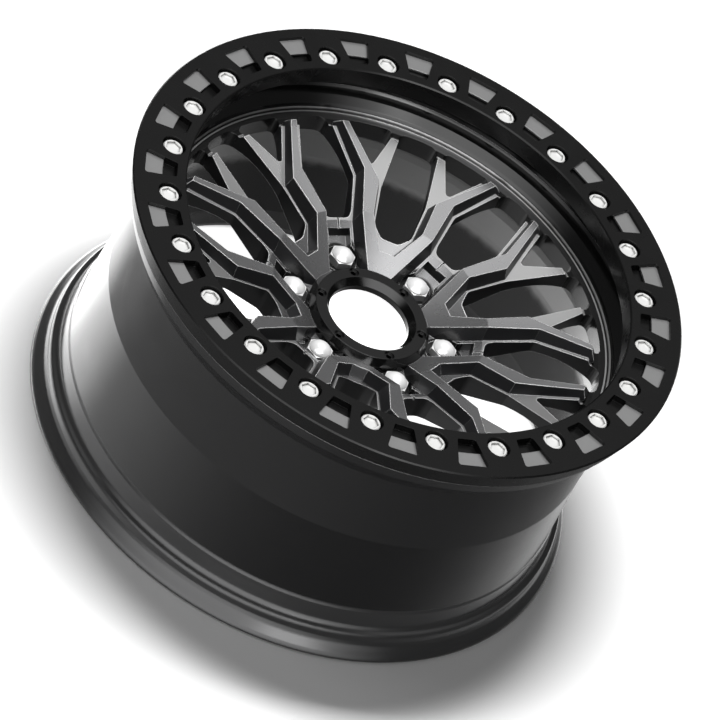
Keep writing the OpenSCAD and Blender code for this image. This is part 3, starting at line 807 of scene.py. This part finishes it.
@dataclass(frozen=True)
class Softbox:
    """A rectangular area lamp that looks at one point of the wheel.

    Attributes:
        name: The lamp's name.
        azimuth: Degrees about Z from +X, seen from the target.
        elevation: Degrees up from level.
        distance: Distance from the target.
        width: One side of the lamp.
        depth: The other side.
        watts: The lamp's power.
        mirrored: Whether reflections show it.
        target: The point that it looks at.
    """

    name: str
    azimuth: float
    elevation: float
    distance: float
    width: float
    depth: float
    watts: float
    mirrored: bool = False
    target: Point = (0.0, 0.0, 0.17)

    def build(self) -> bpy.types.Object:
        """Makes the lamp.

        Returns:
            The lamp's object, placed on a sphere round its target.
        """
        data = bpy.data.lights.new(self.name, "AREA")
        data.shape = "RECTANGLE"
        data.size, data.size_y = self.width, self.depth
        data.energy = self.watts
        lamp = bpy.data.objects.new(self.name, data)
        lamp.visible_glossy = self.mirrored
        away = direction(self.azimuth, self.elevation)
        lamp.location = Vector(self.target) + away * self.distance
        lamp.rotation_mode = "QUATERNION"
        lamp.rotation_quaternion = (-away).to_track_quat("-Z", "Y")
        bpy.context.scene.collection.objects.link(lamp)
        return lamp


@dataclass(frozen=True)
class Glow:
    """A soft round light in the surroundings that only reflections show.

    Attributes:
        azimuth: Degrees about Z from +X.
        elevation: Degrees up from level.
        edge_angle: Degrees from the middle at which it has faded to low.
        core_angle: Degrees from the middle within which it is high.
        low: Strength outside.
        high: Strength in the middle.
    """

    azimuth: float
    elevation: float
    edge_angle: float
    core_angle: float
    low: float
    high: float

    def strength(self, nodes: Nodes, way: Socket) -> Socket:
        """Gives the glow's strength in a direction.

        Args:
            nodes: The world's nodes.
            way: The direction that is looked in.

        Returns:
            The strength: low beyond the edge angle from the middle, high inside the core angle.
        """
        middle = tuple(direction(self.azimuth, self.elevation))
        near = nodes.vector("DOT_PRODUCT", way, middle)
        edge, core = (math.cos(math.radians(angle)) for angle in (self.edge_angle, self.core_angle))
        return nodes.ramp(near, edge, core, self.low, self.high)


@dataclass
class Studio:
    """Floor, world, lamps and camera.

    Attributes:
        floor_size: Side of the square floor.
        floor_lines: Number of grid lines along each side.
        floor_colour: Linear colour of the floor.
        floor_roughness: Roughness of the floor.
        footprint: Radius under the wheel within which the camera sees plain white.
        footprint_blur: Softness of that border.
        far_floor: Radii between which the floor turns to plain white for the camera.
        fill: Strength of the even light from all round.
        camera_place: Where the camera stands.
        camera_target: Where it looks.
        camera_roll: Degrees that it is rolled by.
        lens: Focal length in millimetres.
        sensor: Width of the sensor in millimetres.
        clip: Nearest and farthest distance that the camera sees.
        lamps: The lamps.
        glows: Lights above and round the wheel, for reflections only.
        ground_glows: Lights that lie on the ground below the horizon, for reflections only.
        ground_cut: Elevations between which the ground glows begin.
        ground_shade: How far the ground is dimmed above the cut.
        ground_facing: Level direction in which the ground is palest.
        ground_tones: Strength of the ground away from and towards that direction.
        ground_steep: Sines of the elevations under which the ground is dimmed again.
        ground_steep_shade: Strength left there.
        horizon: Sines of the elevations between which the ground ends.
    """

    floor_size: float = 16.0
    floor_lines: int = 9
    floor_colour: Colour = (0.92, 0.92, 0.92)
    floor_roughness: float = 0.9
    footprint: float = 0.238
    footprint_blur: float = 8.0 * MM
    far_floor: Range = (0.45, 1.1)
    fill: float = 0.20
    camera_place: Point = (-1.5038, -2.9811, 3.0750)
    camera_target: Point = (-0.0116, -0.0485, 0.1538)
    camera_roll: float = -30.818
    lens: float = 261.76
    sensor: float = 36.0
    clip: Range = (0.1, 60.0)
    lamps: tuple[Softbox, ...] = (
        Softbox("top_softbox", 92.0, 81.5, 2.4, 0.8, 0.3, 76.0),
        Softbox("left_softbox", 165.0, 35.0, 2.4, 1.0, 1.0, 6.0),
    )
    glows: tuple[Glow, ...] = (
        Glow(62.0, 75.0, 42.0, 2.0, 0.12, 1.15),
        Glow(250.0, 28.0, 62.0, 15.0, 0.0, 3.0),
        Glow(282.0, 45.0, 12.0, 4.0, 0.0, 4.5),
        Glow(88.0, -42.0, 24.0, 6.0, 0.0, 1.6),
    )
    ground_glows: tuple[Glow, ...] = (
        Glow(110.0, -30.0, 42.0, 1.0, 0.0, 3.0),
        Glow(110.0, -30.0, 115.0, 5.0, 0.0, 1.3),
    )
    ground_cut: Range = (-42.0, -40.0)
    ground_shade: float = 0.3
    ground_facing: Point = (-0.985, -0.174, 0.0)
    ground_tones: Range = (0.04, 0.40)
    ground_steep: Range = (-0.88, -0.75)
    ground_steep_shade: float = 0.35
    horizon: Range = (-0.20, -0.05)

    def floor(self) -> bpy.types.Object:
        """Makes the pale floor under the wheel's rear lip.

        Returns:
            The floor's object, a flat grid x = s * u, y = s * v, z = 0, for u and v from -1/2 to
            1/2 and the floor's size s.
        """
        steps = np.linspace(-0.5, 0.5, self.floor_lines) * self.floor_size
        across, along = np.meshgrid(steps, steps)
        points = np.stack([across, along, np.zeros_like(across)], axis=-1).reshape(-1, 3)
        mesh = grid_mesh("studio_floor", points, len(steps), len(steps))
        mesh.materials.append(self.floor_material())
        floor = bpy.data.objects.new("studio_floor", mesh)
        floor.visible_glossy = False
        bpy.context.scene.collection.objects.link(floor)
        return floor

    def floor_material(self) -> bpy.types.Material:
        """Makes a pale matt floor, white to the camera under the wheel's open back and far away.

        Returns:
            The new material.
        """
        material, nodes, shader = new_material("pale_floor")
        path = nodes.add("ShaderNodeLightPath").outputs
        seen = nodes.math("MAXIMUM", path["Is Camera Ray"], path["Is Transmission Ray"])
        reach = nodes.vector("LENGTH", nodes.add("ShaderNodeTexCoord").outputs["Object"])
        end = self.footprint + self.footprint_blur
        under = nodes.ramp(reach, self.footprint, end, 1.0, 0.0)
        white = nodes.math("MAXIMUM", under, nodes.ramp(reach, *self.far_floor))
        nodes.feed(shader.inputs["Base Color"], self.floor_colour)
        nodes.feed(shader.inputs["Roughness"], self.floor_roughness)
        nodes.feed(shader.inputs["Specular IOR Level"], 0.0)
        nodes.feed(shader.inputs["Emission Color"], WHITE)
        nodes.feed(shader.inputs["Emission Strength"], nodes.product(seen, white))
        return material

    def surroundings(self, nodes: Nodes, way: Socket) -> Socket:
        """Gives what reflections show in a direction.

        Above the horizon it is the sum of the glows. Below it lies a ground that is paler to the
        left. From the cut up to the horizon the ground is dimmed and the ground glows lie on it.

        Args:
            nodes: The world's nodes.
            way: The direction that is looked in.

        Returns:
            The strength's socket.
        """

        def total(glows: tuple[Glow, ...]) -> Socket:
            """Adds up glows.

            Args:
                glows: The glows.

            Returns:
                Their summed strength's socket.
            """
            strength: Number = 0.0
            for glow in glows:
                strength = nodes.math("ADD", strength, glow.strength(nodes, way))
            return strength

        rise = nodes.split(way)[2]
        cut = [math.sin(math.radians(angle)) for angle in self.ground_cut]
        band = nodes.product(total(self.ground_glows), nodes.ramp(rise, *cut))
        shade = nodes.ramp(rise, *cut, 1.0, self.ground_shade)
        steep = nodes.ramp(rise, *self.ground_steep, self.ground_steep_shade, 1.0)
        level = nodes.vector("NORMALIZE", nodes.vector("MULTIPLY", way, LEVEL))
        left = nodes.vector("DOT_PRODUCT", level, self.ground_facing)
        ground = nodes.product(nodes.ramp(left, -1.0, 1.0, *self.ground_tones), shade, steep)
        below = nodes.ramp(rise, *self.horizon, 1.0, 0.0)
        seen_below = nodes.product(below, nodes.math("ADD", band, ground))
        return nodes.math("ADD", total(self.glows), seen_below)

    def world(self) -> None:
        """Makes the surroundings: white to the camera, an even fill, soft lights to reflect."""
        world = bpy.data.worlds.new("studio_world")
        bpy.context.scene.world = world
        world.use_nodes = True
        nodes = Nodes(world.node_tree)
        background = next(n for n in world.node_tree.nodes if n.type == "BACKGROUND")
        way = nodes.add("ShaderNodeTexCoord").outputs["Generated"]
        path = nodes.add("ShaderNodeLightPath").outputs
        seen = self.surroundings(nodes, way)
        strength = nodes.mix("FLOAT", path["Is Glossy Ray"], self.fill, seen)
        strength = nodes.math("MAXIMUM", path["Is Camera Ray"], strength)
        nodes.feed(background.inputs["Strength"], strength)
        nodes.feed(background.inputs["Color"], WHITE)

    def camera(self) -> None:
        """Places the camera at the photograph's viewing angle, rolled about its line of sight."""
        data = bpy.data.cameras.new("photo_camera")
        data.sensor_width = self.sensor
        data.lens = self.lens
        data.clip_start, data.clip_end = self.clip
        camera = bpy.data.objects.new("photo_camera", data)
        place, target = Vector(self.camera_place), Vector(self.camera_target)
        ahead = (target - place).normalized()
        right = ahead.cross(Vector(UPRIGHT)).normalized()
        level = Matrix((right, right.cross(ahead), -ahead)).transposed()
        roll = Matrix.Rotation(math.radians(-self.camera_roll), 3, ahead)
        camera.rotation_mode = "QUATERNION"
        camera.rotation_quaternion = (roll.inverted() @ level).to_quaternion()
        camera.location = place
        bpy.context.scene.collection.objects.link(camera)
        bpy.context.scene.camera = camera

    def build(self) -> None:
        """Makes the floor, world, lamps and camera."""
        self.floor()
        self.world()
        for lamp in self.lamps:
            lamp.build()
        self.camera()
        bpy.context.scene.view_settings.view_transform = "Standard"
        LOG.info("studio has %d lamps", len(self.lamps))


def grid_mesh(name: str, points: np.ndarray, rows: int, columns: int) -> bpy.types.Mesh:
    """Makes a mesh of four-sided faces on a grid of points.

    Point (i, j) is points[i * columns + j]. Each face joins (i, j), (i, j + 1), (i + 1, j + 1)
    and (i + 1, j).

    Args:
        name: The mesh's name.
        points: Array of rows * columns points.
        rows: Number of rows.
        columns: Number of columns.

    Returns:
        The new mesh.
    """
    first = np.arange(rows - 1)[:, None] * columns + np.arange(columns - 1)[None, :]
    corners = (first, first + 1, first + columns + 1, first + columns)
    faces = np.stack(corners, axis=-1).reshape(-1, 4)
    mesh = bpy.data.meshes.new(name)
    mesh.from_pydata(points.tolist(), [], faces.tolist())
    mesh.update()
    return mesh


def main() -> None:
    """Builds the pieces and the studio in order."""
    logging.basicConfig(level=logging.INFO, format="%(message)s")
    PaintedFrame(Effects()).build()
    Studio().build()


if __name__ == "__main__":
    main()
